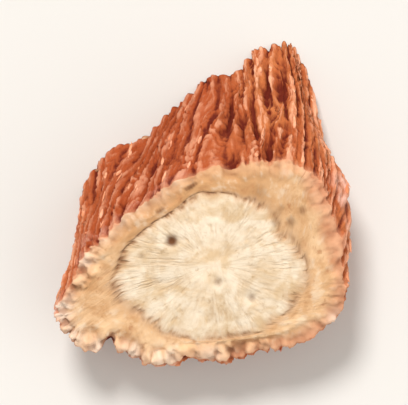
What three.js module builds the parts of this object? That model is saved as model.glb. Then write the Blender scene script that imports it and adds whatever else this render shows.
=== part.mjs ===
// A thick slanted slice of a dried ginseng root, lying on its lower cut.
// Millimetres, +Z up. The origin is under the middle of the slice, on the surface that it lies on.
// +X runs across the slice and +Y points to its high side.
import * as THREE from "three";

// Driving dimensions
const CUT_HEIGHT = 6.6; // height of the upper cut over the pith
const CUT_SLOPE = 0.3; // rise of the upper cut for each millimetre along +Y
const CUT_ROLL = -0.03; // rise of the upper cut for each millimetre along +X
const PITH = [0.62, -3.9]; // where the rays of the wood meet, on the upper cut
const FOOT_PITH = [0.4, 1.6]; // the same place on the lower cut
const PLAN_MIDDLE = [-0.01, 0.11]; // middle of the plan, taken off every point at the end

// Stations round the root, clockwise from the upper left. Each has three plan points: the rim of the
// upper cut, the edge of its wood, and the outline of the lower cut at the same ridge of bark.
const STATIONS = [
  { rim: [-2.8, 0.7], wood: [-2.0, -0.4], foot: [-1.5, 6.6] },
  { rim: [-0.8, 2.2], wood: [-0.3, 0.7], foot: [0.2, 8.3] },
  { rim: [2.3, 2.6], wood: [2.0, 0.5], foot: [2.2, 9.1] },
  { rim: [4.8, 2.8], wood: [3.8, -0.2], foot: [4.0, 10.3] },
  { rim: [6.9, 2.4], wood: [4.9, -1.8], foot: [5.7, 10.7] },
  { rim: [7.8, 0.4], wood: [6.1, -3.0], foot: [6.5, 9.6] },
  { rim: [8.75, -2.5], wood: [6.7, -4.5], foot: [7.0, 6.8] },
  { rim: [9.3, -5.3], wood: [6.3, -6.0], foot: [7.5, 3.0] },
  { rim: [8.25, -7.8], wood: [4.9, -7.3], foot: [8.1, -0.9] },
  { rim: [5.7, -9.4], wood: [3.4, -8.4], foot: [6.7, -4.3] },
  { rim: [2.8, -9.9], wood: [1.6, -8.8], foot: [4.0, -6.1] },
  { rim: [-0.4, -10.2], wood: [-0.6, -8.9], foot: [0.8, -6.8] },
  { rim: [-3.6, -10.6], wood: [-2.8, -8.2], foot: [-2.6, -6.6] },
  { rim: [-6.1, -9.5], wood: [-4.3, -7.0], foot: [-5.3, -5.4] },
  { rim: [-8.8, -9.0], wood: [-5.3, -6.0], foot: [-7.2, -3.6] },
  { rim: [-9.7, -6.8], wood: [-5.7, -4.8], foot: [-8.2, -1.3] },
  { rim: [-8.1, -4.2], wood: [-5.4, -3.3], foot: [-7.9, 1.2] },
  { rim: [-6.8, -2.1], wood: [-4.3, -2.1], foot: [-6.4, 3.3] },
  { rim: [-5.0, -0.6], wood: [-3.2, -1.2], foot: [-3.9, 4.8] },
];

// Bark ridges that run from cut to cut. A turn is a place round the root, from 0 to 1, and a level
// is a place along it, from 0 at the lower cut to 1 at the upper one.
const RIDGES = { count: 47, sharpness: 0.75, share: 0.68 }; // narrow furrows between round crests
const WRINKLES = { count: 30, sharpness: 1, share: 0.32 }; // wider, they merge and part the ridges
const RIDGE_DEPTH = 0.65;
const MEAN_CREST = 0.68; // height of the smooth outline between a furrow's floor and a crest

// Waves round the root: their size, how many there are in a turn, where they start, and how far they
// twist from cut to cut
const DRIFT = [
  { size: 0.5, count: 3, start: 0.6, twist: 1.9 },
  { size: 0.3, count: 8, start: 1.9, twist: -2.6 },
];
const WAVER = [
  { size: 0.16, count: 6, start: 0, twist: 6.5 },
  { size: 0.08, count: 15, start: 1.1, twist: -9 },
];
const STRENGTH = [{ size: 0.3, count: 5, start: 2.4, twist: 1.7 }];
const MEAN_STRENGTH = 0.7;
const FOLDS = [
  { size: 0.16, count: 7, start: 0.8, twist: 1.3 },
  { size: 0.11, count: 13, start: 2.7, twist: -2 },
];

// The ridges lean, most of all on the upper left: how far from cut to cut, as a share of a turn
const LEAN = { turn: 0.95, narrowness: 2, level: 0.5, share: 0.04 };

// The near side swells before it draws in under the rim, and the right side has a shoulder
const BELLY = { turn: 0.57, narrowness: 3, height: 0.8 };
const SHOULDER = { turn: 0.31, width: 0.062, level: 0.74, reach: 0.2, height: 1.1 };

// Furrows deeper than the rest, with the levels that they run between
const FURROWS = [
  { turn: 0.016, from: 0.35, to: 0.75, depth: 0.4 },
  { turn: 0.089, from: 0, to: 0.95, depth: 0.45 },
  { turn: 0.11, from: 0.35, to: 1.1, depth: 0.5 },
  { turn: 0.133, from: 0.45, to: 0.85, depth: 0.45 },
  { turn: 0.148, from: 0.1, to: 0.6, depth: 0.5 },
  { turn: 0.153, from: 0.7, to: 1.1, depth: 0.4 },
  { turn: 0.17, from: 0.15, to: 0.6, depth: 0.45 },
  { turn: 0.192, from: 0.1, to: 0.5, depth: 0.5 },
  { turn: 0.34, from: -0.1, to: 0.7, depth: 0.4 },
  { turn: 0.47, from: 0.1, to: 0.8, depth: 0.35 },
  { turn: 0.588, from: -0.1, to: 1.1, depth: 0.35 },
  { turn: 0.69, from: 0.3, to: 1.2, depth: 0.8 },
  { turn: 0.86, from: 0, to: 0.6, depth: 0.35 },
  { turn: 0.98, from: 0.4, to: 0.8, depth: 0.35 },
];
const FURROW_WIDTH = 0.007; // share of a turn
const FURROW_END = 0.15; // share of the length over which a furrow fades out

// Upper cut
const RIM_ROLL = 0.45; // how far the edge of the cut bends down
const ROLL_SHARPNESS = 5;
const RING_DEPTH = 0.12; // groove between the wood and the rind
const RING_REACH = { rind: 0.16, wood: 0.06 }; // width of the groove, as a share of each
const WOOD_DOME = 0.25; // how far the pith stands over the edge of the wood
const PITS = [
  { at: [-2.1, -2.4], radius: 0.42, depth: 0.4 },
  { at: [0.9, -5.1], radius: 0.34, depth: 0.25 },
  { at: [3.1, -6.1], radius: 0.36, depth: 0.3 },
];

// Mesh
const AROUND = 192; // segments round the bark and the rind
const LEVELS = [0, 0.06, 0.16, 0.27, 0.38, 0.49, 0.6, 0.7, 0.79, 0.87, 0.94, 1];
const RIND_RINGS = [0.84, 0.5, 0.18, 0]; // share of the way from the wood out to the rim
const WOOD_RINGS = [0.94, 0.87, 0.8, 0.73, 0.66, 0.58, 0.5, 0.42, 0.33, 0.23, 0.12];
const PITH_SHARE = 0.4; // rings closer to the pith than this have half as many points
const TANGENT_STEP = 0.004; // share of a turn between two points that give an outline's direction

const TURN = 2 * Math.PI;

const outline = (key) =>
  new THREE.CatmullRomCurve3(
    STATIONS.map((station) => new THREE.Vector3(...station[key], 0)),
    true,
    "catmullrom",
    0.5,
  );
const rimCurve = outline("rim");
const woodCurve = outline("wood");
const footCurve = outline("foot");

const planPoint = (curve, turn) => curve.getPoint(turn - Math.floor(turn));
const bump = (distance, width) => Math.exp(-((distance / width) ** 2));

// Distance between two places round the root, as a share of a turn
function turnGap(a, b) {
  const gap = Math.abs(a - b) % 1;
  return Math.min(gap, 1 - gap);
}

// 1 at a feature's place round the root, and 0 on the far side
const nearness = (turn, feature) =>
  (0.5 + 0.5 * Math.cos(TURN * (turn - feature.turn))) ** feature.narrowness;

// Sum of a list of waves
const waves = (list, turn, level) =>
  list.reduce(
    (sum, wave) => sum + wave.size * Math.sin(TURN * wave.count * turn + wave.start + wave.twist * level),
    0,
  );

// One set of ridges: 0 on the floor of a furrow, and the set's share on a crest
const crests = (set, turn, wander) =>
  set.share * Math.abs(Math.sin(Math.PI * (set.count * turn + wander))) ** set.sharpness;

// Where a place is between a furrow's floor, 0, and a crest, 1
function crestHeight(turn, level) {
  const drift = waves(DRIFT, turn, level);
  const waver = waves(WAVER, turn, level);
  return crests(RIDGES, turn, drift + waver) + crests(WRINKLES, turn, waver - drift);
}

// How far the bark stands out of its smooth outline at a place round the root and a level
function barkOffset(turn, level) {
  const leaned = turn + LEAN.share * nearness(turn, LEAN) * (level - LEAN.level);
  const crest = crestHeight(leaned, level);
  const strength = MEAN_STRENGTH + waves(STRENGTH, turn, level);
  let offset = RIDGE_DEPTH * strength * (crest - MEAN_CREST) + waves(FOLDS, turn, level);
  for (const furrow of FURROWS) {
    const inside = Math.min(level - furrow.from, furrow.to - level) / FURROW_END;
    const fade = Math.min(1, Math.max(0, inside));
    offset -= furrow.depth * fade * bump(turnGap(leaned, furrow.turn), FURROW_WIDTH);
  }
  const shoulder = bump(turnGap(turn, SHOULDER.turn), SHOULDER.width);
  offset += SHOULDER.height * shoulder * bump(level - SHOULDER.level, SHOULDER.reach);
  return offset + BELLY.height * nearness(turn, BELLY) * Math.sin(Math.PI * level ** 2);
}

// Outward direction of the outline at a level, in plan
function outward(turn, level) {
  const before = slicePoint(turn - TANGENT_STEP, level);
  const after = slicePoint(turn + TANGENT_STEP, level);
  return new THREE.Vector3(-(after.y - before.y), after.x - before.x, 0).normalize();
}

// The smooth outline at a level, from 0 at the lower cut to 1 at the upper one
function slicePoint(turn, level) {
  return planPoint(footCurve, turn).lerp(planPoint(rimCurve, turn), level);
}

// Height of the upper cut's plane over a plan point
const cutPlane = (point) =>
  CUT_HEIGHT + CUT_SLOPE * (point.y - PITH[1]) + CUT_ROLL * (point.x - PITH[0]);

// A point of the bark
function barkPoint(turn, level) {
  const reach = barkOffset(turn, level);
  const point = slicePoint(turn, level).addScaledVector(outward(turn, level), reach);
  const rim = planPoint(rimCurve, turn).addScaledVector(outward(turn, 1), reach);
  point.z = level * (cutPlane(rim) - RIM_ROLL);
  return point;
}

// A point of the rind on the upper cut, from 0 at the wood to 1 at the rim
function rindPoint(turn, share) {
  const rim = barkPoint(turn, 1);
  const point = planPoint(woodCurve, turn).lerp(new THREE.Vector3(rim.x, rim.y, 0), share);
  const roll = RIM_ROLL * share ** ROLL_SHARPNESS;
  point.z = cutPlane(point) - roll - RING_DEPTH * bump(share, RING_REACH.rind);
  return point;
}

// A point of the wood on the upper cut, from 0 at the pith to 1 at the rind
function woodPoint(turn, share) {
  const point = new THREE.Vector3(...PITH, 0).lerp(planPoint(woodCurve, turn), share);
  let relief = WOOD_DOME * (1 - share ** 2) - RING_DEPTH * bump(1 - share, RING_REACH.wood);
  for (const pit of PITS) {
    const distance = Math.hypot(point.x - pit.at[0], point.y - pit.at[1]);
    relief -= pit.depth * bump(distance, pit.radius);
  }
  point.z = cutPlane(point) + relief;
  return point;
}

// Collects rings of points and joins them into one closed skin
class Skin {
  positions = [];
  indices = [];

  addPoint(point) {
    this.positions.push(point.x - PLAN_MIDDLE[0], point.y - PLAN_MIDDLE[1], point.z);
    return this.positions.length / 3 - 1;
  }

  addRing(count, pointAt) {
    return Array.from({ length: count }, (_, i) => this.addPoint(pointAt(i / count)));
  }

  // Joins two rings with the same number of points, or an outer ring with twice as many as the inner
  join(outer, inner) {
    const ratio = outer.length / inner.length;
    for (let i = 0; i < inner.length; i++) {
      const near = inner[i];
      const next = inner[(i + 1) % inner.length];
      const first = outer[i * ratio];
      const middle = outer[(i * ratio + 1) % outer.length];
      const last = outer[(i * ratio + ratio) % outer.length];
      this.indices.push(first, near, middle, middle, near, next);
      if (ratio === 2) this.indices.push(middle, next, last);
    }
  }

  // Closes a ring onto one point
  close(ring, point) {
    const centre = this.addPoint(point);
    ring.forEach((here, i) => this.indices.push(here, centre, ring[(i + 1) % ring.length]));
  }
}

function rootSliceGeometry() {
  const skin = new Skin();
  const bark = LEVELS.map((level) => skin.addRing(AROUND, (turn) => barkPoint(turn, level)));
  for (let i = 1; i < bark.length; i++) skin.join(bark[i - 1], bark[i]);

  let ring = bark.at(-1);
  for (const share of RIND_RINGS) {
    const inner = skin.addRing(AROUND, (turn) => rindPoint(turn, share));
    skin.join(ring, inner);
    ring = inner;
  }
  for (const share of WOOD_RINGS) {
    const count = share > PITH_SHARE ? AROUND / 2 : AROUND / 4;
    const inner = skin.addRing(count, (turn) => woodPoint(turn, share));
    skin.join(ring, inner);
    ring = inner;
  }
  skin.close(ring, woodPoint(0, 0));
  skin.close([...bark[0]].reverse(), new THREE.Vector3(...FOOT_PITH, 0));

  const geometry = new THREE.BufferGeometry();
  geometry.setAttribute("position", new THREE.Float32BufferAttribute(skin.positions, 3));
  geometry.setIndex(skin.indices);
  geometry.computeVertexNormals();
  return geometry;
}

const dryRoot = new THREE.MeshStandardMaterial({ color: 0xd9a06e, roughness: 0.85, metalness: 0 });

const group = new THREE.Group();
const rootSlice = new THREE.Mesh(rootSliceGeometry(), dryRoot);
rootSlice.name = "root_slice";
group.add(rootSlice);

export default group;
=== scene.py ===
"""A thick slanted slice of a dried ginseng root, with its bark, rind and wood, on a plain pale floor.

Run as a script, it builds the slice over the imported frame. The slice's smooth skin comes from a few
named outlines, and a Geometry Nodes tree then gives it its fine wrinkles, rays and pores. Lengths in
the rules of the shape are in millimetres, and the mesh is in metres.
"""

import math

import bpy
import numpy as np
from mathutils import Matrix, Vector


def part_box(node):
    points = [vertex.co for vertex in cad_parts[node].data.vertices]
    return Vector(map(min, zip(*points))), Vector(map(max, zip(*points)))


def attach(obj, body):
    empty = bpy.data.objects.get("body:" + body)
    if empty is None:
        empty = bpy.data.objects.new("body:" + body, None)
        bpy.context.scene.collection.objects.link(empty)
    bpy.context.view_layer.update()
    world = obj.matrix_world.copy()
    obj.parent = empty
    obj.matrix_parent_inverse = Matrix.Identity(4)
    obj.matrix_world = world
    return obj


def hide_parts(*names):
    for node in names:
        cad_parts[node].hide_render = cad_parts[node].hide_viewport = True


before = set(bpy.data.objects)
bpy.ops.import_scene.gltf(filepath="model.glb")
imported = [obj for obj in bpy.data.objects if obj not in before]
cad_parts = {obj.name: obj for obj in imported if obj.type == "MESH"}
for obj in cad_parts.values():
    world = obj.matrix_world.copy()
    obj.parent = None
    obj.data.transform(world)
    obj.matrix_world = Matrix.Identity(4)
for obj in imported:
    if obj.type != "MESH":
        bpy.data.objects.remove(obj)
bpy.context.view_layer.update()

NODE = "root_slice"
LOW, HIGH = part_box(NODE)

bl_info = {
    "name": "Ginseng Root Slice",
    "version": (1, 0, 0),
    "blender": (4, 5, 0),
    "location": "View3D > Sidebar > Root Slice",
    "description": "Builds a dried root slice with wrinkled bark and a pale cut face",
    "category": "Add Mesh",
}

FLOOR_REACH = 0.6  # from the origin to the sides of the floor, in metres
MM = 0.001
TURN = 2 * math.pi

# The upper cut, in millimetres
CUT_HEIGHT = 6.6  # height of the cut over the pith
CUT_SLOPE = 0.3  # rise for each millimetre along +Y
CUT_ROLL = -0.03  # rise for each millimetre along +X
PITH = (0.62, -3.9)
FOOT_PITH = (0.4, 1.6)
PLAN_MIDDLE = (-0.01, 0.11)  # taken off every point, so that the origin is under the middle

# Stations round the root, clockwise from the upper left: the rim of the upper cut, the edge of its
# wood, and the outline of the lower cut at the same ridge of bark
STATIONS = (
    ((-2.8, 0.7), (-2.0, -0.4), (-1.5, 6.6)),
    ((-0.8, 2.2), (-0.3, 0.7), (0.2, 8.3)),
    ((2.3, 2.6), (2.0, 0.5), (2.2, 9.1)),
    ((4.8, 2.8), (3.8, -0.2), (4.0, 10.3)),
    ((6.9, 2.4), (4.9, -1.8), (5.7, 10.7)),
    ((7.8, 0.4), (6.1, -3.0), (6.5, 9.6)),
    ((8.75, -2.5), (6.7, -4.5), (7.0, 6.8)),
    ((9.3, -5.3), (6.3, -6.0), (7.5, 3.0)),
    ((8.25, -7.8), (4.9, -7.3), (8.1, -0.9)),
    ((5.7, -9.4), (3.4, -8.4), (6.7, -4.3)),
    ((2.8, -9.9), (1.6, -8.8), (4.0, -6.1)),
    ((-0.4, -10.2), (-0.6, -8.9), (0.8, -6.8)),
    ((-3.6, -10.6), (-2.8, -8.2), (-2.6, -6.6)),
    ((-6.1, -9.5), (-4.3, -7.0), (-5.3, -5.4)),
    ((-8.8, -9.0), (-5.3, -6.0), (-7.2, -3.6)),
    ((-9.7, -6.8), (-5.7, -4.8), (-8.2, -1.3)),
    ((-8.1, -4.2), (-5.4, -3.3), (-7.9, 1.2)),
    ((-6.8, -2.1), (-4.3, -2.1), (-6.4, 3.3)),
    ((-5.0, -0.6), (-3.2, -1.2), (-3.9, 4.8)),
)

# Ridges of the bark: how many in a turn, how sharp their furrows are, and their share of the height
RIDGES = (47, 0.75, 0.68)
WRINKLES = (30, 1.0, 0.32)
RIDGE_DEPTH = 0.65
MEAN_CREST = 0.68
FINE_RIDGES = (91, 0.9, 1.0)  # finer ridges over the others
FINE_DEPTH = 0.15
FINE_MEAN = 0.6
FINE_SHADE = 0.5  # how much painted shade and painted highlight they add to the bark's colour
FINE_WANDER = ((0.9, 7, 0.4, 8.0), (0.5, 18, 2.2, -17.0), (0.3, 37, 1.3, 26.0))
FINE_STRENGTH = ((0.45, 9, 0.7, 6.0), (0.3, 23, 2.9, -11.0))

# Waves round the root: size, how many in a turn, start, and twist from cut to cut
DRIFT = ((0.5, 3, 0.6, 1.9), (0.3, 8, 1.9, -2.6))
WAVER = ((0.16, 6, 0.0, 6.5), (0.08, 15, 1.1, -9.0))
STRENGTH = ((0.3, 5, 2.4, 1.7),)
MEAN_STRENGTH = 0.7
FOLDS = ((0.16, 7, 0.8, 1.3), (0.11, 13, 2.7, -2.0))

# The ridges lean, most of all on one side: how far from cut to cut, as a share of a turn
LEAN, LEAN_TURN, LEAN_NARROWNESS, LEAN_LEVEL = 0.04, 0.95, 2, 0.5
BELLY_TURN, BELLY_NARROWNESS, BELLY_HEIGHT = 0.57, 3, 0.8
SHOULDER_TURN, SHOULDER_WIDTH = 0.31, 0.062
SHOULDER_LEVEL, SHOULDER_REACH, SHOULDER_HEIGHT = 0.74, 0.2, 1.1

# Deep furrows: turn, the levels they run between, and depth
FURROWS = (
    (0.016, 0.35, 0.75, 0.4),
    (0.089, 0.0, 0.95, 0.45),
    (0.11, 0.35, 1.1, 0.5),
    (0.133, 0.45, 0.85, 0.45),
    (0.148, 0.1, 0.6, 0.5),
    (0.153, 0.7, 1.1, 0.4),
    (0.17, 0.15, 0.6, 0.45),
    (0.192, 0.1, 0.5, 0.5),
    (0.34, -0.1, 0.7, 0.4),
    (0.47, 0.1, 0.8, 0.35),
    (0.588, -0.1, 1.1, 0.35),
    (0.69, 0.3, 1.2, 0.8),
    (0.86, 0.0, 0.6, 0.35),
    (0.98, 0.4, 0.8, 0.35),
)
FURROW_WIDTH = 0.007
FURROW_END = 0.15
FURROW_SHADE = 0.8  # how much painted shade they add to the bark's colour

RIM_ROLL = 0.45
ROLL_SHARPNESS = 5
RING_DEPTH = 0.03  # the rest of the groove is in the fine relief
RING_REACH_RIND, RING_REACH_WOOD = 0.16, 0.06
WOOD_DOME = 0.25
# Pits of the wood: place, radius and depth
PITS = (((-2.1, -2.4), 0.42, 0.4), ((0.9, -5.1), 0.34, 0.25), ((3.1, -6.1), 0.36, 0.3))

# Dark marks on the upper cut: place, radius and strength. Most are the cut's own stains and knots, and
# some are painted shade in its pits and beside small bumps of the rind.
STAINS_AND_SHADE = (
    # Painted shade in the three pits of the wood
    ((-2.1, -2.4), 0.42, 0.95),
    ((0.9, -5.1), 0.38, 0.5),
    ((3.1, -6.1), 0.38, 0.53),
    # The cut's own stains and knots
    ((-5.3, -3.7), 0.4, 0.5),
    # Painted shadows beside small bumps of the rind on the upper right
    ((6.4, -0.4), 0.42, 0.62),
    ((5.65, -1.15), 0.5, 0.6),
    ((4.7, -1.2), 0.45, 0.5),
    ((5.0, -0.3), 0.4, 0.45),
    ((7.0, 0.1), 0.35, 0.45),
    # The cut's own stains, knots and dark dashes
    ((4.0, -9.2), 0.3, 0.55),
    ((3.6, 0.8), 0.8, 0.38),
    ((0.6, 1.7), 0.5, 0.3),
    ((-4.1, -3.3), 0.3, 0.45),
    ((-1.15, 0.98), 0.2, 0.7),
    ((-1.0, 1.07), 0.2, 0.8),
    ((-0.85, 1.15), 0.2, 0.85),
    ((-0.7, 1.24), 0.2, 0.8),
    ((-0.55, 1.32), 0.2, 0.6),
    ((-3.0, -0.48), 0.22, 0.65),
    ((-2.85, -0.4), 0.22, 0.7),
    ((-2.7, -0.3), 0.22, 0.6),
)
# Pale places of the rim, partly its whitish edges and partly painted highlights on its knobs and along its
# upper left lip: place, radius and strength
PALE_AND_HIGHLIGHT_PLACES = (
    ((-9.5, -6.9), 0.9, 1.0),
    ((-8.6, -8.6), 0.8, 0.6),
    ((-6.8, -9.6), 0.8, 0.7),
    ((-4.8, -9.9), 0.8, 0.8),
    ((-2.6, -10.2), 0.9, 0.7),
    ((0.4, -9.9), 0.8, 0.5),
    ((8.7, -7.6), 0.6, 0.6),
    ((-7.8, -3.6), 0.5, 0.6),
    ((-6.5, -1.9), 0.6, 0.45),
    ((-5.6, -1.1), 0.6, 0.25),
    ((-4.8, -0.4), 0.6, 0.25),
    ((-4.0, 0.2), 0.6, 0.25),
    ((-3.2, 0.75), 0.6, 0.3),
    ((-2.4, 1.3), 0.6, 0.22),
    ((-1.6, 1.85), 0.6, 0.22),
)
# Painted highlights on the bark, as pale pink streaks, most on its right side: place, radius and strength
BARK_HIGHLIGHTS = (
    ((9.0, 1.4), 0.6, 1.0),
    ((9.15, 0.3), 0.55, 0.85),
    ((9.4, -1.2), 0.5, 0.6),
    ((-7.6, -2.6), 0.5, 0.6),
)
RING_SIDE = 0.95  # place round the root where the line of the ring is clearest
DARKER_SIDE = 0.05  # where the rind is darker
REDDER_SIDE = 0.96  # where the bark is redder, and its dusty crests with their painted highlight are fainter
# Crests of the rim stand over its furrows on the upper cut, most of all round one place
LUMP_HEIGHT = 0.2
LUMP_TURN, LUMP_NARROWNESS, LEAST_LUMP = 0.7, 3, 0.42
LUMP_RISE, LUMP_FALL = 9, 7  # how sharply they rise on the bark, and fall on the rind
CALM_LEVEL = 0.86  # level that the ridges of the bark begin to die away from, elsewhere on the rim
PINKER_SIDE = 0.35  # where the outer rind is pinker

# The mesh
AROUND = 576
BARK_ROWS = 90
RIND_ROWS = 20
WOOD_ROWS = 40
FOOT_RIND_ROWS = 11
FOOT_WOOD_ROWS = 20
FOOT_BAND = 0.87  # inside this share the lower cut has no ridges
FOOT_INSET = 0.62  # width of the band where they die away
RIM_BAND, RIM_INSET = 0.66, 1.0  # the same on the upper cut
FOOT_WOOD_SHARE = 0.66  # how far out the wood reaches on the lower cut
TANGENT_STEP = 0.004
LENGTH_STEP = 0.01
GRAIN_RADIUS = 8.3  # radius of the circle that the root's girth is unrolled on
GRAIN_LENGTHS = (11.0, 3.5, 6.0)  # length of the bark, the rind and the wood along the grain
FOOT_LENGTH = 9.5  # the same, from the edge of the lower cut to its middle
CUT_SIDE = -0.1  # how far inward a point of the upper cut lies at least
HALVED_BELOW = (0.62, 0.36, 0.16)  # shares of the radius where rings halve their points
RIND_SPACING = 1.25  # more than 1 packs the rows of the rind near the rim


def srgb(red, green, blue):
    """A linear colour from 8-bit sRGB values."""
    parts = [value / 255 for value in (red, green, blue)]
    return tuple(p / 12.92 if p <= 0.04045 else ((p + 0.055) / 1.055) ** 2.4 for p in parts)


# The rule of the shape


def bump(distance, width):
    """A round hump, 1 at no distance."""
    return np.exp(-((distance / width) ** 2))


def turn_gap(turn, other):
    """Distance between two places round the root, as a share of a turn."""
    gap = np.abs(turn - other) % 1
    return np.minimum(gap, 1 - gap)


def nearness(turn, other, narrowness):
    """1 at one place round the root, and 0 on the far side."""
    return (0.5 + 0.5 * np.cos(TURN * (turn - other))) ** narrowness


def closed_curve(points, turn):
    """Points of a smooth closed curve through the given ones, at places from 0 to 1."""
    points = np.array(points, float)
    count = len(points)
    place = (np.asarray(turn, float) % 1) * count
    index = np.floor(place).astype(int)
    t = (place - index)[..., None]
    before, here, after, later = (points[(index + step) % count] for step in (-1, 0, 1, 2))
    start = (after - before) / 2
    end = (later - here) / 2
    cubic = 2 * here - 2 * after + start + end
    square = -3 * here + 3 * after - 2 * start - end
    return here + t * (start + t * (square + t * cubic))


def rim_at(turn):
    return closed_curve([station[0] for station in STATIONS], turn)


def wood_at(turn):
    return closed_curve([station[1] for station in STATIONS], turn)


def foot_at(turn):
    return closed_curve([station[2] for station in STATIONS], turn)


def waves(listed, turn, level):
    """The sum of a list of waves."""
    return sum(
        size * np.sin(TURN * count * turn + start + twist * level)
        for size, count, start, twist in listed
    )


def crests(ridge_set, turn, wander):
    """One set of ridges: 0 on the floor of a furrow, and the set's share on a crest."""
    count, sharpness, share = ridge_set
    return share * np.abs(np.sin(math.pi * (count * turn + wander))) ** sharpness


def knobby(turn):
    """How strongly the ridges of the bark show on the rim of the upper cut, up to 1."""
    return LEAST_LUMP + (1 - LEAST_LUMP) * nearness(turn, LUMP_TURN, LUMP_NARROWNESS)


def leaned(turn, level):
    """A place round the root, counted along ridges that lean on their way from cut to cut."""
    return turn + LEAN * nearness(turn, LEAN_TURN, LEAN_NARROWNESS) * (level - LEAN_LEVEL)


def crest_height(turn, level):
    """Where a place is between a furrow's floor, 0, and a crest, 1."""
    turn = leaned(turn, level)
    drift = waves(DRIFT, turn, level)
    waver = waves(WAVER, turn, level)
    return crests(RIDGES, turn, drift + waver) + crests(WRINKLES, turn, waver - drift)


def fine_crest(turn, level):
    """The finer ridges, below 0 in their furrows and over 0 on their crests."""
    turn = leaned(turn, level)
    wander = waves(DRIFT, turn, level) + waves(FINE_WANDER, turn, level)
    strength = np.clip(MEAN_STRENGTH + waves(FINE_STRENGTH, turn, level), 0.1, 1.4)
    return strength * (crests(FINE_RIDGES, turn, wander) - FINE_MEAN)


def ridge_turn(turn, level):
    """A place round the root, counted along the ridges as they wander."""
    turn = leaned(turn, level)
    return turn + (waves(DRIFT, turn, level) + waves(WAVER, turn, level)) / RIDGES[0]


def lengthwise(turn, level):
    """Direction along the ridges of the bark, from the lower cut to the upper one."""
    ends = []
    for step in (-LENGTH_STEP, LENGTH_STEP):
        sideways = ridge_turn(turn, level + step) - ridge_turn(turn, level)
        plan = slice_point(turn - sideways, level + step + 0 * turn)
        ends.append(with_height(plan, (level + step) * cut_plane(plan)))
    along = ends[1] - ends[0]
    return along / np.linalg.norm(along, axis=-1, keepdims=True)


def furrow_depth(turn, level):
    """Depth of the deep furrows at a place."""
    turn = leaned(turn, level)
    depth = 0 * turn
    for place, low, high, deep in FURROWS:
        fade = np.clip(np.minimum(level - low, high - level) / FURROW_END, 0, 1)
        depth = depth + deep * fade * bump(turn_gap(turn, place), FURROW_WIDTH)
    return depth


def bark_offset(turn, level):
    """How far the bark stands out of its smooth outline."""
    strength = MEAN_STRENGTH + waves(STRENGTH, turn, level)
    offset = RIDGE_DEPTH * strength * (crest_height(turn, level) - MEAN_CREST)
    offset = offset + FINE_DEPTH * fine_crest(turn, level)
    calm = np.clip((level - CALM_LEVEL) / (1 - CALM_LEVEL), 0, 1) ** 2
    offset = offset * (1 - (1 - knobby(turn)) * calm)
    offset = offset + waves(FOLDS, turn, level) - furrow_depth(turn, level)
    shoulder = bump(turn_gap(turn, SHOULDER_TURN), SHOULDER_WIDTH)
    offset = offset + SHOULDER_HEIGHT * shoulder * bump(level - SHOULDER_LEVEL, SHOULDER_REACH)
    belly = nearness(turn, BELLY_TURN, BELLY_NARROWNESS)
    return offset + BELLY_HEIGHT * belly * np.sin(math.pi * level**2)


def slice_point(turn, level):
    """The smooth outline at a level, from 0 at the lower cut to 1 at the upper one."""
    share = np.asarray(level)[..., None]
    return foot_at(turn) * (1 - share) + rim_at(turn) * share


def outward(turn, level):
    """Outward direction of the outline at a level, in plan."""
    along = slice_point(turn + TANGENT_STEP, level) - slice_point(turn - TANGENT_STEP, level)
    normal = np.stack([-along[..., 1], along[..., 0]], -1)
    return normal / np.linalg.norm(normal, axis=-1, keepdims=True)


def cut_plane(plan):
    """Height of the upper cut's plane over plan points."""
    return CUT_HEIGHT + CUT_SLOPE * (plan[..., 1] - PITH[1]) + CUT_ROLL * (plan[..., 0] - PITH[0])


def with_height(plan, height):
    return np.concatenate([plan, np.broadcast_to(height, plan.shape[:-1])[..., None]], -1)


def bark_points(turn, level):
    """Points of the bark."""
    level = level + 0 * turn
    reach = bark_offset(turn, level)[..., None]
    plan = slice_point(turn, level) + outward(turn, level) * reach
    rim = rim_at(turn) + outward(turn, 1 + 0 * turn) * reach
    height = level * (cut_plane(rim) - RIM_ROLL)
    return with_height(plan, height + rim_lump(turn) * level**LUMP_RISE)


def rim_lump(turn):
    """How far the rim stands up at a crest of the bark, or sinks at a furrow."""
    return LUMP_HEIGHT * knobby(turn) * (crest_height(turn, 1.0) - MEAN_CREST)


def banded(turn, level, share, band, width, middle):
    """Plan points of a cut, from 0 at its middle to 1 at its edge, where the ridges die away in a band."""
    inset = min((1 - share) / (1 - band), 1)
    level = level + 0 * turn
    ridges = bark_offset(turn, level) * (1 - inset) - width * inset
    edge = slice_point(turn, level) + outward(turn, level) * ridges[..., None]
    inner = min(share / band, 1)
    return middle * (1 - inner) + edge * inner


def rind_points(turn, share):
    """Points of the rind on the upper cut, from 0 at the wood to 1 at the rim."""
    plan = banded(turn, 1.0, share, RIM_BAND, RIM_INSET, wood_at(turn))
    roll = RIM_ROLL * share**ROLL_SHARPNESS - rim_lump(turn) * share**LUMP_FALL
    return with_height(plan, cut_plane(plan) - roll - RING_DEPTH * bump(share, RING_REACH_RIND))


def wood_points(turn, share):
    """Points of the wood on the upper cut, from 0 at the pith to 1 at the rind."""
    plan = np.array(PITH) * (1 - share) + wood_at(turn) * share
    relief = WOOD_DOME * (1 - share**2) - RING_DEPTH * bump(1 - share, RING_REACH_WOOD)
    for place, radius, depth in PITS:
        distance = np.linalg.norm(plan - np.array(place), axis=-1)
        relief = relief - depth * bump(distance, radius)
    return with_height(plan, cut_plane(plan) + relief)


def foot_points(turn, share):
    """Points of the lower cut, from 0 at its middle to 1 at its edge."""
    return with_height(banded(turn, 0.0, share, FOOT_BAND, FOOT_INSET, np.array(FOOT_PITH)), 0.0)


def marked(points, marks):
    """How strongly points lie in marks, from 0 to 1."""
    value = np.zeros(len(points))
    for place, radius, strength in marks:
        distance = np.linalg.norm(points[:, :2] - np.array(place), axis=-1)
        value = np.maximum(value, strength * bump(distance, radius))
    return value


# Building the skin


# Values kept at each point of the skin, and their kinds
SKIN_VALUES = {
    "grain": "FLOAT_VECTOR",
    "lengthwise": "FLOAT_VECTOR",
    "inward": "FLOAT",
    "crest": "FLOAT",
    "lower": "FLOAT",
    "stain_and_shade": "FLOAT",
    "pale": "FLOAT",
}


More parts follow.
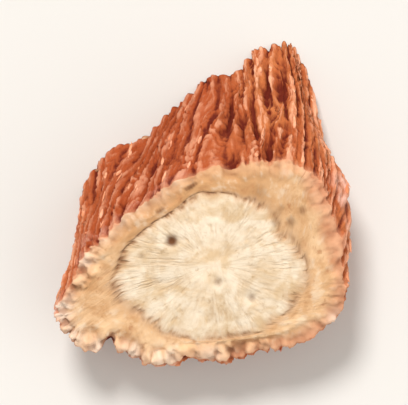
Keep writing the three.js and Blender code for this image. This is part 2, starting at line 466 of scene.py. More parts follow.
class Skin:
    """Rings of points, joined into one closed skin, with values kept at each point."""

    def __init__(self):
        self.points, self.faces, self.is_cut = [], [], []
        self.values = {key: [] for key in SKIN_VALUES}
        self.count = 0

    def ring(self, points, turn, along, inward, crest, lower=0.0, direction=(0.0, 0.0, 1.0)):
        """Adds a ring and returns its point numbers."""
        size = len(turn)
        angle = TURN * turn
        around = [GRAIN_RADIUS * np.cos(angle), GRAIN_RADIUS * np.sin(angle)]
        on_cut = inward > CUT_SIDE and lower == 0
        values = {
            "grain": np.stack([*around, np.full(size, along)], -1),
            "lengthwise": np.broadcast_to(direction, (size, 3)),
            "inward": np.full(size, inward),
            "crest": np.broadcast_to(crest, size),
            "lower": np.full(size, lower),
            "stain_and_shade": on_cut * marked(points, STAINS_AND_SHADE),
            # The pale value holds the rim's pale places and painted highlights, and the bark's painted
            # highlights
            "pale": marked(points, PALE_AND_HIGHLIGHT_PLACES if on_cut else BARK_HIGHLIGHTS),
        }
        for key, value in values.items():
            self.values[key].append(value)
        self.points.append(points)
        numbers = np.arange(self.count, self.count + size)
        self.count += size
        return numbers

    def join(self, outer, inner, is_cut):
        """Joins two rings, where the outer may have twice as many points as the inner."""
        following = np.roll(inner, -1)
        if len(outer) == len(inner):
            faces = np.stack([outer, inner, following, np.roll(outer, -1)], -1).tolist()
        else:
            first, middle, last = outer[0::2], outer[1::2], np.roll(outer, -2)[0::2]
            faces = [
                *np.stack([first, inner, middle], -1).tolist(),
                *np.stack([middle, inner, following], -1).tolist(),
                *np.stack([middle, following, last], -1).tolist(),
            ]
        self.faces += faces
        self.is_cut += [is_cut] * len(faces)

    def close(self, ring, centre):
        """Closes a ring onto one point."""
        self.faces += [[a, centre, b] for a, b in zip(ring.tolist(), np.roll(ring, -1).tolist())]
        self.is_cut += [True] * len(ring)

    def mesh(self, name):
        """The skin as a mesh in metres, with its values as attributes."""
        points = np.concatenate(self.points) - np.array([*PLAN_MIDDLE, 0.0])
        mesh = bpy.data.meshes.new(name)
        mesh.from_pydata((points * MM).tolist(), [], self.faces)
        for key, kind in SKIN_VALUES.items():
            field = "vector" if kind == "FLOAT_VECTOR" else "value"
            values = np.concatenate(self.values[key]).astype(np.float32)
            mesh.attributes.new(key, kind, "POINT").data.foreach_set(field, values.ravel())
        cut = mesh.attributes.new("is_cut", "BOOLEAN", "FACE")
        cut.data.foreach_set("value", self.is_cut)
        mesh.update()
        return mesh


def add_bark(skin):
    """The bark, from the lower cut up. Returns its first and last rings."""
    turn = np.arange(AROUND) / AROUND
    rings = []
    for row in range(BARK_ROWS + 1):
        level = row / BARK_ROWS
        # The crest value, lowered along the deep furrows and moved by the fine ridges, sets the bark's
        # painted shade in its furrows and painted highlight on its crests
        crest = crest_height(turn, level) - FURROW_SHADE * furrow_depth(turn, level)
        crest = crest + FINE_SHADE * fine_crest(turn, level)
        lower = 1.0 if row == 0 else 0.0
        points = bark_points(turn, level)
        followed = ridge_turn(turn, level)
        along = GRAIN_LENGTHS[0] * level
        direction = lengthwise(turn, level)
        rings.append(skin.ring(points, followed, along, level - 1, crest, lower, direction))
    for below, above in zip(rings, rings[1:]):
        skin.join(below, above, False)
    return rings[0], rings[-1]


def ring_sizes(shares):
    """Number of points of each ring, halved each time the rings get smaller than a share."""
    return [AROUND // 2 ** sum(share <= limit for limit in HALVED_BELOW) for share in shares]


def add_upper_cut(skin, rim):
    """The rind and the wood of the upper cut, from the rim in to the pith."""
    bark_length, rind_length, wood_length = GRAIN_LENGTHS
    turn = np.arange(AROUND) / AROUND
    # The rim's crest value sets its painted highlight on crests and its painted shade in furrows
    crest = MEAN_CREST + (crest_height(turn, 1.0) - MEAN_CREST) * knobby(turn)
    followed = ridge_turn(turn, 1.0)
    last = rim
    for row in range(1, RIND_ROWS + 1):
        inward = (row / RIND_ROWS) ** RIND_SPACING
        along = bark_length + rind_length * inward
        ring = skin.ring(rind_points(turn, 1 - inward), followed, along, inward, crest)
        skin.join(last, ring, True)
        last = ring
    shares = [1 - row / (WOOD_ROWS + 1) for row in range(1, WOOD_ROWS + 1)]
    for share, size in zip(shares, ring_sizes(shares)):
        turn = np.arange(size) / size
        along = bark_length + rind_length + wood_length * (1 - share)
        ring = skin.ring(wood_points(turn, share), ridge_turn(turn, 1.0), along, 2 - share, 0.5)
        skin.join(last, ring, True)
        last = ring
    start = np.zeros(1)
    pith = skin.ring(wood_points(start, 0.0), start, sum(GRAIN_LENGTHS), 2.0, 0.5)
    skin.close(last, int(pith[0]))


def add_lower_cut(skin, foot):
    """The flat lower cut, from its edge in."""
    last = foot[::-1]
    rows = FOOT_RIND_ROWS + FOOT_WOOD_ROWS
    shares = [1 - row / (rows + 1) for row in range(1, rows + 1)]
    for share, size in zip(shares, ring_sizes(shares)):
        turn = (-np.arange(size) - 1) / size % 1
        if share > FOOT_WOOD_SHARE:
            inward = (1 - share) / (1 - FOOT_WOOD_SHARE)
        else:
            inward = 2 - share / FOOT_WOOD_SHARE
        crest = crest_height(turn, 0.0)
        along = -FOOT_LENGTH * (1 - share)
        ring = skin.ring(foot_points(turn, share), turn, along, inward, crest, 1.0)
        skin.join(last, ring, True)
        last = ring
    start = np.zeros(1)
    middle = skin.ring(foot_points(start, 0.0), start, -FOOT_LENGTH, 2.0, 0.5, 1.0)
    skin.close(last, int(middle[0]))


# Node trees


class Tree:
    """Adds nodes to a tree. An input is a value or another node's output."""

    def __init__(self, tree):
        self.tree = tree

    def add(self, kind, inputs=None, output=0, **settings):
        """A node with its settings and inputs. Returns one of its outputs."""
        return self.node(kind, inputs, **settings).outputs[output]

    def node(self, kind, inputs=None, **settings):
        made = self.tree.nodes.new(kind)
        for key, value in settings.items():
            setattr(made, key, value)
        self.put(made, inputs or {})
        return made

    def put(self, node, values):
        """Gives a node's inputs their values, or links them to other nodes' outputs."""
        for key, value in values.items():
            if isinstance(value, bpy.types.NodeSocket):
                self.tree.links.new(value, node.inputs[key])
            else:
                node.inputs[key].default_value = value

    def math(self, operation, a, b=0.0, c=0.0):
        return self.add("ShaderNodeMath", {0: a, 1: b, 2: c}, operation=operation)

    def times(self, value, *others):
        """Values multiplied together."""
        for other in others:
            value = self.math("MULTIPLY", value, other)
        return value

    def swayed(self, value, noise, amount):
        """A value that a noise moves up and down."""
        return self.math("MULTIPLY_ADD", self.math("SUBTRACT", noise, 0.5), amount, value)

    def stretched(self, grain, share):
        """Grain coordinates that stretch a pattern along the root, the more the smaller the share is."""
        inputs = {0: grain, 1: (1.0, 1.0, share)}
        return self.add("ShaderNodeVectorMath", inputs, operation="MULTIPLY")

    def ranged(self, value, low, high, to_low=0.0, to_high=1.0, smooth=True):
        """A value brought from one range to another, and held inside it."""
        kind = "SMOOTHSTEP" if smooth else "LINEAR"
        inputs = {"Value": value, "From Min": low, "From Max": high, "To Min": to_low, "To Max": to_high}
        return self.add("ShaderNodeMapRange", inputs, interpolation_type=kind)

    def noise(self, vector, scale, detail=4.0, roughness=0.55, distortion=0.0, seed=0.0):
        inputs = {"Vector": vector, "W": seed, "Scale": scale, "Detail": detail}
        inputs.update({"Roughness": roughness, "Distortion": distortion})
        return self.add("ShaderNodeTexNoise", inputs, noise_dimensions="4D")

    def mix(self, factor, a, b):
        """A mix of two colours. The node also has inputs for numbers and vectors, so they are counted."""
        return self.add("ShaderNodeMix", {0: factor, 6: a, 7: b}, output=2, data_type="RGBA")


def new_tree(label, tree_kind, inputs, outputs):
    """A tree whose inputs are listed by name, kind and default. Returns it with its given values."""
    tree = bpy.data.node_groups.new(label, tree_kind)
    for name, kind, default in inputs:
        socket = tree.interface.new_socket(name, in_out="INPUT", socket_type="NodeSocket" + kind)
        if default is not None:
            socket.default_value = default
    for name, kind in outputs:
        tree.interface.new_socket(name, in_out="OUTPUT", socket_type="NodeSocket" + kind)
    return Tree(tree), tree.nodes.new("NodeGroupInput").outputs


def fine_relief_tree():
    """Geometry Nodes: fine wrinkles on the bark, and rays, fibres and grains on the cuts."""
    made, given = new_tree(
        "Root Fine Relief",
        "GeometryNodeTree",
        (
            ("Geometry", "Geometry", None),
            ("Wrinkle Depth", "Float", 0.00011),
            ("Wrinkle Scale", "Float", 1.4),
            ("Net Depth", "Float", 0.00006),
            ("Ray Depth", "Float", 0.00005),
            ("Grain Depth", "Float", 0.00006),
            ("Lump Height", "Float", 0.0002),
            ("Ring Depth", "Float", 0.00012),
            ("Edge Wander", "Float", 0.5),
            ("Seed", "Float", 3.0),
            ("Bark", "Material", None),
            ("Cut", "Material", None),
        ),
        (("Geometry", "Geometry"),),
    )
    grain = named_value(made, "grain", "FLOAT_VECTOR")
    inward = named_value(made, "inward")
    lower = named_value(made, "lower")
    crest = named_value(made, "crest")

    # Bark: long wrinkles along the ridges, and a net of short ones
    on_bark = made.ranged(inward, -0.02, 0.1, 1.0, 0.0)
    near_floor = made.ranged(inward, -1.0, -0.95)
    long_space = made.stretched(grain, 0.14)
    wrinkle = folded_noise(made, long_space, given["Wrinkle Scale"], 3.0, 0.14, given["Seed"])
    net_space = made.stretched(grain, 0.7)
    net = folded_noise(made, net_space, 1.7, 3.0, 0.12, given["Seed"])
    bark_height = made.times(wrinkle, given["Wrinkle Depth"])
    bark_height = made.math("MULTIPLY_ADD", net, given["Net Depth"], bark_height)
    bark_height = made.times(bark_height, on_bark, near_floor)

    # Cuts: a broken groove round the wood, whose edge wanders
    edge_space = made.stretched(grain, 0.3)
    edge = made.noise(edge_space, 0.9, 5.0, 0.62, 0.3, made.math("ADD", given["Seed"], 2.0))
    depth = made.swayed(inward, edge, given["Edge Wander"])
    ring = made.math("ABSOLUTE", made.math("SUBTRACT", depth, 0.98))
    ring = made.ranged(ring, 0.0, 0.08, 1.0, 0.0)
    dots = made.noise(grain, 1.9, 3.0, 0.6, 0.0, 6.0)
    ring = made.times(ring, made.ranged(dots, 0.4, 0.56, 0.15, 1.0))

    # Short grooves along the rays, torn grains and lumps along the rim
    ray_space = made.stretched(grain, 0.34)
    ray = folded_noise(made, ray_space, 1.5, 3.0, 0.09, given["Seed"])
    patch = made.noise(grain, 0.55, 3.0, 0.6, 0.0, given["Seed"])
    near_ring = made.ranged(inward, 0.9, 1.05, 0.35, 1.0)
    near_pith = made.ranged(inward, 1.5, 1.9, 1.0, 0.3)
    ray = made.ranged(ray, -0.9, 0.3, 1.0, 0.0)
    ray = made.times(ray, made.ranged(patch, 0.4, 0.62), near_pith, near_ring)
    position = made.add("GeometryNodeInputPosition")
    millimetres = made.add("ShaderNodeVectorMath", {0: position, "Scale": 1000.0}, operation="SCALE")
    torn = made.noise(millimetres, 1.5, 5.0, 0.65, 0.2, given["Seed"])
    cut_height = made.ranged(torn, 0.25, 0.75, -1.0, 1.0, smooth=False)
    cut_height = made.times(cut_height, given["Grain Depth"])
    cut_height = made.math("SUBTRACT", cut_height, made.times(ray, given["Ray Depth"]))
    cut_height = made.math("SUBTRACT", cut_height, made.times(ring, given["Ring Depth"]))
    lump = made.noise(millimetres, 0.95, 3.0, 0.5, 0.3, made.math("ADD", given["Seed"], 5.0))
    lump = made.ranged(lump, 0.38, 0.64, -1.0, 1.0)
    at_rim = made.times(made.ranged(inward, 0.0, 0.06), made.ranged(inward, 0.2, 0.55, 1.0, 0.0))
    lump_side = made.ranged(facing(made, grain, LUMP_TURN), -0.2, 0.9, 0.55, 1.3)
    lump = made.times(lump, at_rim, lump_side)
    cut_height = made.math("MULTIPLY_ADD", lump, given["Lump Height"], cut_height)
    cut_height = made.times(cut_height, made.math("SUBTRACT", 1.0, on_bark))

    # The lower cut only has hollows, and its edge is left alone, so that the slice lies flat on it
    height = made.math("ADD", bark_height, cut_height)
    is_lower = made.math("GREATER_THAN", lower, 0.5)
    off_edge = made.math("GREATER_THAN", inward, -0.5)
    hollow = made.times(made.math("MINIMUM", height, 0.0), off_edge)
    switch = {"Switch": is_lower, "False": height, "True": hollow}
    height = made.add("GeometryNodeSwitch", switch, input_type="FLOAT")
    normal = made.add("GeometryNodeInputNormal")
    down = {"Switch": is_lower, "False": normal, "True": (0.0, 0.0, -1.0)}
    normal = made.add("GeometryNodeSwitch", down, input_type="VECTOR")
    offset = made.add("ShaderNodeVectorMath", {0: normal, "Scale": height}, operation="SCALE")

    # Values that the materials colour by
    # The relief sets the bark's painted shade in its furrows and painted highlight on its crests
    relief = made.math("MULTIPLY_ADD", wrinkle, 0.16, crest)
    relief = made.math("MULTIPLY_ADD", net, 0.08, relief)
    kept = given["Geometry"]
    values = {"relief": relief, "ray": ray, "torn": torn, "depth": depth, "ring": ring, "lump": lump}
    for name, value in values.items():
        inputs = {"Geometry": kept, "Name": name, "Value": value}
        settings = {"data_type": "FLOAT", "domain": "POINT"}
        kept = made.add("GeometryNodeStoreNamedAttribute", inputs, **settings)
    moved = made.add("GeometryNodeSetPosition", {"Geometry": kept, "Offset": offset})
    whole = made.add("GeometryNodeRealizeInstances", {"Geometry": moved})
    is_cut = named_value(made, "is_cut", "BOOLEAN")
    barked = made.add("GeometryNodeSetMaterial", {"Geometry": whole, "Material": given["Bark"]})
    cut = {"Geometry": barked, "Selection": is_cut, "Material": given["Cut"]}
    painted = made.add("GeometryNodeSetMaterial", cut)
    made.node("NodeGroupOutput", {"Geometry": painted})
    return made.tree


def flake_tree():
    """Geometry Nodes: thin flakes of dry skin that cling to the crests of the bark, along the ridges."""
    made, given = new_tree(
        "Bark Flakes",
        "GeometryNodeTree",
        (
            ("Geometry", "Geometry", None),
            ("Density", "Float", 1500000.0),
            ("Length", "Float", 0.0009),
            ("Width", "Float", 0.00024),
            ("Thickness", "Float", 0.00006),
            ("Seed", "Int", 4),
            ("Material", "Material", None),
        ),
        (("Geometry", "Geometry"),),
    )
    inward = named_value(made, "inward")
    crest = named_value(made, "relief")
    on_bark = made.math("LESS_THAN", inward, -0.06)
    position = made.add("GeometryNodeInputPosition")
    floor_gap = made.node("ShaderNodeSeparateXYZ", {"Vector": position}).outputs["Z"]
    clear = made.math("GREATER_THAN", floor_gap, made.times(given["Length"], 0.75))
    on_crest = made.ranged(crest, 0.72, 1.0)
    spread = made.node(
        "GeometryNodeDistributePointsOnFaces",
        {
            "Mesh": given["Geometry"],
            "Density": made.times(on_bark, clear, on_crest, given["Density"]),
            "Seed": given["Seed"],
        },
    )
    direction = named_value(made, "lengthwise", "FLOAT_VECTOR")
    upright = {"Vector": spread.outputs["Normal"]}
    turned = made.add("FunctionNodeAlignRotationToVector", upright, axis="Z")
    lying = {"Rotation": turned, "Vector": direction}
    turned = made.add("FunctionNodeAlignRotationToVector", lying, axis="X", pivot_axis="Z")

    # One flake is a thin body that narrows to its ends and is arched along its length
    box = {"Size": (1.0, 1.0, 1.0), "Vertices X": 7, "Vertices Y": 3, "Vertices Z": 2}
    flake = made.add("GeometryNodeMeshCube", box)
    place = made.add("GeometryNodeInputPosition")
    parts = made.node("ShaderNodeSeparateXYZ", {"Vector": place})
    outness = made.math("ABSOLUTE", made.times(parts.outputs["X"], 2.0))
    narrow = made.math("SUBTRACT", 1.0, made.times(made.math("POWER", outness, 1.8), 0.85))
    across = made.times(parts.outputs["Y"], narrow)
    round_off = made.times(across, across, -2.2)
    height = made.math("ADD", made.times(parts.outputs["Z"], narrow), round_off)
    shape = {"X": parts.outputs["X"], "Y": across, "Z": height}
    shaped = {"Geometry": flake, "Position": made.add("ShaderNodeCombineXYZ", shape)}
    flake = made.add("GeometryNodeSetPosition", shaped)
    size = {
        "X": made.times(given["Length"], random_share(made, 0.4, 1.3, 7)),
        "Y": made.times(given["Width"], random_share(made, 0.5, 1.2, 8)),
        "Z": given["Thickness"],
    }
    laid = made.add(
        "GeometryNodeInstanceOnPoints",
        {
            "Points": spread.outputs["Points"],
            "Instance": flake,
            "Rotation": turned,
            "Scale": made.add("ShaderNodeCombineXYZ", size),
        },
    )
    whole = made.add("GeometryNodeRealizeInstances", {"Geometry": laid})
    given_material = {"Geometry": whole, "Material": given["Material"]}
    painted = made.add("GeometryNodeSetMaterial", given_material)
    made.node("NodeGroupOutput", {"Geometry": painted})
    return made.tree


def random_share(made, low, high, seed):
    """A random share for each flake."""
    inputs = {"Min": low, "Max": high, "Seed": seed}
    return made.add("FunctionNodeRandomValue", inputs, output=1, data_type="FLOAT")


def named_value(made, name, kind="FLOAT"):
    """A value that the mesh carries under a name."""
    return made.add("GeometryNodeInputNamedAttribute", {"Name": name}, data_type=kind)


def folded_noise(made, space, scale, detail, width, seed):
    """Noise folded into sharp valleys, from -1 on their floor to about 0.6 between them."""
    noise = made.noise(space, scale, detail, 0.5, 0.3, seed)
    fold = made.math("ABSOLUTE", made.math("SUBTRACT", noise, 0.5))
    return made.ranged(fold, 0.0, width, -1.0, 0.6)


def mottle_group():
    """Shader group: soft patches and fine specks that vary a colour over the surface."""
    made, given = new_tree(
        "Dry Mottle",
        "ShaderNodeTree",
        (
            ("Color", "Color", (0.8, 0.6, 0.4, 1.0)),
            ("Patch Color", "Color", (0.6, 0.4, 0.2, 1.0)),
            ("Speck Color", "Color", (0.3, 0.15, 0.1, 1.0)),
            ("Patch Amount", "Float", 0.6),
            ("Speck Amount", "Float", 0.5),
            ("Patch Scale", "Float", 420.0),
            ("Speck Scale", "Float", 2400.0),
        ),
        (("Color", "Color"), ("Height", "Float")),
    )
    place = made.add("ShaderNodeTexCoord", output="Object")
    patch = made.noise(place, given["Patch Scale"], 5.0, 0.6, 0.6, 1.7)
    patch = made.times(made.ranged(patch, 0.38, 0.66), given["Patch Amount"])
    speck = made.noise(place, given["Speck Scale"], 3.0, 0.6, 0.0, 4.2)
    specks = made.times(made.ranged(speck, 0.58, 0.72), given["Speck Amount"])
    colour = made.mix(patch, given["Color"], given["Patch Color"])
    colour = made.mix(specks, colour, given["Speck Color"])
    made.node("NodeGroupOutput", {"Color": colour, "Height": speck})


def new_material(name):
    """An empty material with its tree and its shader."""
    material = bpy.data.materials.new(name)
    material.use_nodes = True
    tree = material.node_tree
    shader = tree.nodes["Principled BSDF"]
    return material, Tree(tree), shader


def mottled(made, **values):
    """The mottle group, placed in a material with its own values."""
    inputs = {key.replace("_", " ").title(): value for key, value in values.items()}
    return made.node("ShaderNodeGroup", inputs, node_tree=bpy.data.node_groups["Dry Mottle"]).outputs


def attribute(made, name, output="Fac"):
    return made.add("ShaderNodeAttribute", output=output, attribute_name=name)


def facing(made, grain, turn):
    """How near a place is to another round the root: 1 there, and -1 on the far side."""
    angle = TURN * turn
    side = (math.cos(angle) / GRAIN_RADIUS, math.sin(angle) / GRAIN_RADIUS, 0.0)
    return made.add("ShaderNodeVectorMath", {0: grain, 1: side}, output=1, operation="DOT_PRODUCT")


def bumped(made, height, strength, distance):
    """The normal of a surface with bumps."""
    inputs = {"Strength": strength, "Distance": distance, "Height": height}
    return made.add("ShaderNodeBump", inputs)


def bark_material(colours):
    """Brick-red dry bark, with painted shade in its furrows, dusty pink crests that are partly dust and
    partly painted highlight, and streaks of painted highlight.
    """
    material, made, shader = new_material("Dry Bark")
    relief = attribute(made, "relief")
    grain = attribute(made, "grain", "Vector")
    streak = made.noise(made.stretched(grain, 0.13), 1.6, 5.0, 0.68, 0.3, 8.0)
    # Low in the furrows and high on the crests, with streaks: it sets the bark's painted shade and painted
    # highlight
    shade = made.swayed(relief, streak, 1.3)
    thread = made.noise(made.stretched(grain, 0.22), 3.2, 6.0, 0.74, 0.3, 15.0)
    shade = made.swayed(shade, thread, 0.95)
    hue = made.noise(made.stretched(grain, 0.35), 0.45, 3.0, 0.55, 0.2, 21.0)
    tone = made.mix(made.ranged(hue, 0.4, 0.62), colours.bark, colours.bark_gold)
    upper = made.ranged(facing(made, grain, REDDER_SIDE), 0.3, 0.95)
    tone = made.mix(made.times(upper, 0.9), tone, colours.bark_patch)
    body = mottled(
        made,
        color=tone,
        patch_color=colours.bark_patch,
        speck_color=colours.furrow_shade_and_specks,
        patch_amount=0.8,
        speck_amount=0.45,
        patch_scale=360.0,
        speck_scale=2400.0,
    )
    # Painted shade on the floor of the furrows
    colour = made.mix(made.ranged(shade, 0.03, 0.57, 1.0, 0.0), body["Color"], colours.furrow_shade_and_specks)
    # Dusty pink crests, partly dust and partly painted highlight, fainter on the redder side
    crest_patches = made.noise(grain, 0.8, 4.0, 0.6, 0.2, 12.0)
    dust_and_highlight = made.times(made.ranged(shade, 0.62, 1.04), made.ranged(crest_patches, 0.35, 0.6, 0.4, 1.0))
    dust_and_highlight = made.times(dust_and_highlight, made.ranged(upper, 0.0, 1.0, 1.0, 0.55))
    colour = made.mix(dust_and_highlight, colour, colours.bark_crest)
    # Painted highlights: pale pink streaks on the crests, at the listed places
    on_crest = made.ranged(shade, 0.2, 0.7, 0.25, 1.0)
    pale = made.times(attribute(made, "pale"), on_crest, made.ranged(thread, 0.4, 0.6, 0.4, 1.0))
    colour = made.mix(pale, colour, colours.bark_highlight)
    rim = made.ranged(attribute(made, "inward"), -0.05, 0.0, 0.0, 0.6)
    colour = made.mix(rim, colour, colours.bark_rim)
    fine = made.noise(made.stretched(grain, 0.35), 3.6, 7.0, 0.74, 0.3, 2.0)
    surface = {
        "Base Color": colour,
        "Roughness": made.ranged(shade, 0.2, 1.1, 0.8, 0.58),
        "Specular IOR Level": 0.28,
        "Normal": bumped(made, fine, 1.0, 0.0002),
    }
    made.put(shader, surface)
    return material


def flake_material(colours):
    """Dusty pink flakes of dry bark."""
    material, made, shader = new_material("Bark Flake")
    body = mottled(
        made,
        color=colours.bark_crest,
        patch_color=colours.bark,
        speck_color=colours.bark_patch,
        patch_amount=0.9,
        speck_amount=0.5,
        patch_scale=900.0,
        speck_scale=2600.0,
    )
    normal = bumped(made, body["Height"], 0.5, 0.00004)
    made.put(shader, {"Base Color": body["Color"], "Roughness": 0.7, "Normal": normal})
    return material


def cut_material(colours):
    """The cut: cream wood with short rays and pits, a broken ring line and a peach rind, with painted
    highlight on the rim's crests, painted shade in its furrows and pits, and painted highlights among its
    pale places.
    """
    material, made, shader = new_material("Cut Root")
    torn = attribute(made, "torn")
    crest = attribute(made, "crest")
    grain = attribute(made, "grain", "Vector")
    depth = attribute(made, "depth")
    rind = mottled(
        made,
        color=colours.rind,
        patch_color=colours.rind_patch,
        speck_color=colours.rind_speck,
        patch_amount=0.9,
        speck_amount=0.55,
        patch_scale=700.0,
        speck_scale=1700.0,
    )
    wood = mottled(
        made,
        color=colours.wood,
        patch_color=colours.wood_patch,
        speck_color=colours.wood_ray,
        patch_amount=0.95,
        speck_amount=0.55,
        patch_scale=640.0,
        speck_scale=1700.0,
    )

    # The rind is darker on its upper side
    upper = made.ranged(facing(made, grain, DARKER_SIDE), 0.45, 0.95)
    # Painted highlight on the crests and lumps of the rim, and painted shade in the furrows between them,
    # along its outer band
    high = made.math("MULTIPLY_ADD", attribute(made, "lump"), 0.3, crest)
    shade = made.mix(made.ranged(high, 0.3, 1.02), colours.rim_shade, colours.rim_highlight)
    outer = made.ranged(depth, 0.42, 0.02, 0.0, 0.85)
    outer = made.times(outer, made.ranged(upper, 0.0, 1.0, 1.0, 0.55))
    body = made.mix(made.times(upper, 0.9), rind["Color"], colours.rind_patch)
    body = made.mix(made.ranged(torn, 0.5, 0.66, 0.0, 0.42), body, colours.wood)
    body = made.mix(made.ranged(torn, 0.47, 0.3, 0.0, 0.45), body, colours.rind_speck)
    rinded = made.mix(outer, body, shade)
    pinker = made.ranged(facing(made, grain, PINKER_SIDE), 0.2, 0.9)
    pinker = made.times(pinker, 0.45, made.ranged(depth, 0.45, 0.1))
    rinded = made.mix(pinker, rinded, colours.bark_rim)
    rayed = made.times(attribute(made, "ray"), 0.42)
    rayed = made.mix(rayed, wood["Color"], colours.wood_ray)
    colour = made.mix(made.ranged(depth, 0.8, 1.1), rinded, rayed)

    # The ring is a broken dark line in a soft darker band
    band = made.math("ABSOLUTE", made.math("SUBTRACT", depth, 0.94))
    colour = made.mix(made.ranged(band, 0.02, 0.22, 0.5, 0.0), colour, colours.rind_patch)
    clearer = made.ranged(facing(made, grain, RING_SIDE), -0.2, 0.9, 0.6, 1.0)
    ring = made.times(attribute(made, "ring"), clearer)
    colour = made.mix(ring, colour, colours.ring)

    # Pale places of the rim, partly its whitish edges and partly painted highlights, strongest on its
    # crests
    pale = made.times(attribute(made, "pale"), made.ranged(crest, 0.3, 0.8, 0.3, 1.0))
    colour = made.mix(pale, colour, colours.pale)
    # Dark marks: the cut's own stains and knots, and painted shade in its pits and beside small bumps of
    # the rind
    stain_and_shade = made.times(attribute(made, "stain_and_shade"), made.ranged(torn, 0.35, 0.65, 1.0, 0.8))
    stain_and_shade = made.swayed(stain_and_shade, torn, made.ranged(stain_and_shade, 0.0, 0.3, 0.0, 0.9))
    colour = made.mix(made.ranged(stain_and_shade, 0.12, 0.8), colour, colours.stain_and_shade)
    colour = made.mix(made.ranged(depth, -0.04, 0.07, 0.7, 0.0), colour, colours.bark_rim)
    fibre = made.noise(made.stretched(grain, 0.6), 3.6, 7.0, 0.74, 0.3, 9.0)
    fibre = made.times(fibre, made.ranged(attribute(made, "inward"), 1.5, 1.95, 1.0, 0.1))
    normal = bumped(made, fibre, 0.8, 0.0001)
    surface = {"Base Color": colour, "Roughness": 0.78, "Specular IOR Level": 0.3, "Normal": normal}
    made.put(shader, surface)
    return material


def set_inputs(modifier, values):
    """Sets a Geometry Nodes modifier's inputs by their names in the tree."""
    for item in modifier.node_group.interface.items_tree:
        if item.in_out == "INPUT" and item.name in values:
            modifier[item.identifier] = values[item.name]


def apply_tree(piece, tree, values):
    """Runs a Geometry Nodes tree over an object, and leaves it a plain mesh."""
    modifier = piece.modifiers.new(tree.name, "NODES")
    modifier.node_group = tree
    set_inputs(modifier, values)
    depsgraph = bpy.context.evaluated_depsgraph_get()
    mesh = bpy.data.meshes.new_from_object(piece.evaluated_get(depsgraph))
    piece.modifiers.clear()
    piece.data = mesh


# The add-on


def colour_property(name, description, default):
    settings = {"size": 4, "min": 0.0, "max": 1.0, "subtype": "COLOR", "default": (*default, 1.0)}
    return bpy.props.FloatVectorProperty(name=name, description=description, **settings)


def number_property(name, description, default, least=0.0, **settings):
    settings.update({"default": default, "min": least})
    return bpy.props.FloatProperty(name=name, description=description, **settings)


def length_property(name, description, default, least=0.0):
    return number_property(name, description, default, least, unit="LENGTH", precision=5)


class RootSizes(bpy.types.PropertyGroup):
    """Sizes of the fine relief."""

    wrinkle_depth: length_property("Wrinkle depth", "Depth of the fine wrinkles of the bark", 0.00011)
    net_depth: length_property("Net depth", "Depth of the short wrinkles across the ridges", 0.00006)
    ray_depth: length_property("Ray depth", "Depth of the grooves along the rays", 0.00005)
    grain_depth: length_property("Grain depth", "Height of the torn grains of the cuts", 0.00006)
    lump_height: length_property("Lump height", "Height of the lumps along the rim of the cut", 0.00026)
    ring_depth: length_property("Ring depth", "Depth of the broken groove round the wood", 0.00012)
    edge_wander: number_property("Edge wander", "How far the edge of the wood wanders, as a share", 0.5)
    flake_length: length_property("Flake length", "Mean length of the flakes on the bark", 0.0009)
    flake_width: length_property("Flake width", "Mean width of the flakes on the bark", 0.00024)
    flake_thickness: length_property("Flake thickness", "Thickness of the flakes on the bark", 0.00006)
    flake_density: number_property("Flake density", "Flakes on each square metre of crest", 1500000.0)
    wrinkle_scale: number_property(
        "Wrinkle scale", "How many fine wrinkles there are in a millimetre", 1.4, 0.1
    )


class RootColours(bpy.types.PropertyGroup):
    """Colours of the bark and of the cuts."""

    bark: colour_property("Bark", "The bark between its crests and furrows", srgb(217, 126, 73))
    bark_gold: colour_property("Golden bark", "Browner parts of the bark", srgb(212, 122, 66))
    bark_patch: colour_property("Bark patches", "Redder patches of the bark", srgb(180, 79, 32))
    # Painted shade on the floor of the furrows, and the colour of the bark's small specks
    furrow_shade_and_specks: colour_property("Furrows", "The floor of the furrows", srgb(112, 30, 5))
    # Partly dust and partly painted highlight on the crests; also the flakes' own colour
    bark_crest: colour_property("Crests", "Dusty crests of the ridges", srgb(252, 180, 140))
    # Painted highlights: pale pink streaks on the bark
    bark_highlight: colour_property("Pale bark", "The palest streaks of the bark", srgb(252, 204, 184))
    bark_rim: colour_property("Bark edge", "The thin edge of the bark at the cut", srgb(224, 150, 110))
    rind: colour_property("Rind", "The rind on the cut", srgb(242, 199, 152))
    rind_patch: colour_property("Rind patches", "Darker patches of the rind", srgb(209, 156, 105))
    rind_speck: colour_property("Rind specks", "Small dark specks of the rind", srgb(178, 114, 70))
    # Painted highlight on the rim's crests, and painted shade in its furrows
    rim_highlight: colour_property("Rim crests", "The rind on the crests of the rim", srgb(250, 198, 156))
    rim_shade: colour_property("Rim furrows", "The rind in the furrows of the rim", srgb(144, 82, 49))
    wood: colour_property("Wood", "The wood on the cut", srgb(249, 230, 203))
    wood_patch: colour_property("Wood patches", "Darker patches of the wood", srgb(224, 192, 150))
    wood_ray: colour_property("Rays", "The rays of the wood and their specks", srgb(196, 160, 118))
    ring: colour_property("Ring", "The broken line between the wood and the rind", srgb(150, 102, 66))
    # Partly the rim's whitish edges, partly painted highlights on its knobs
    pale: colour_property("Pale places", "Whitish places of the rim", srgb(255, 232, 210))
    # Stains and knots of the cut, also painted as shade in its pits and beside small bumps
    stain_and_shade: colour_property("Stains", "Pits and knots of the cut", srgb(118, 74, 42))


class StageLook(bpy.types.PropertyGroup):
    """The floor, the lights and the camera."""

    floor: colour_property("Floor", "The plain floor", srgb(226, 222, 216))
    key_strength: number_property("Key light", "Strength of the soft light from the upper left", 2.45)
    fill_strength: number_property("Fill light", "Strength of the soft light from the right", 0.7)
    sky_strength: number_property("Sky", "Strength of the even light from all sides", 0.55)
    view_width: length_property("View width", "Width that the picture takes in", 0.0268, 0.001)
    camera_height: length_property("Camera height", "Height of the camera over the floor", 0.3, 0.05)


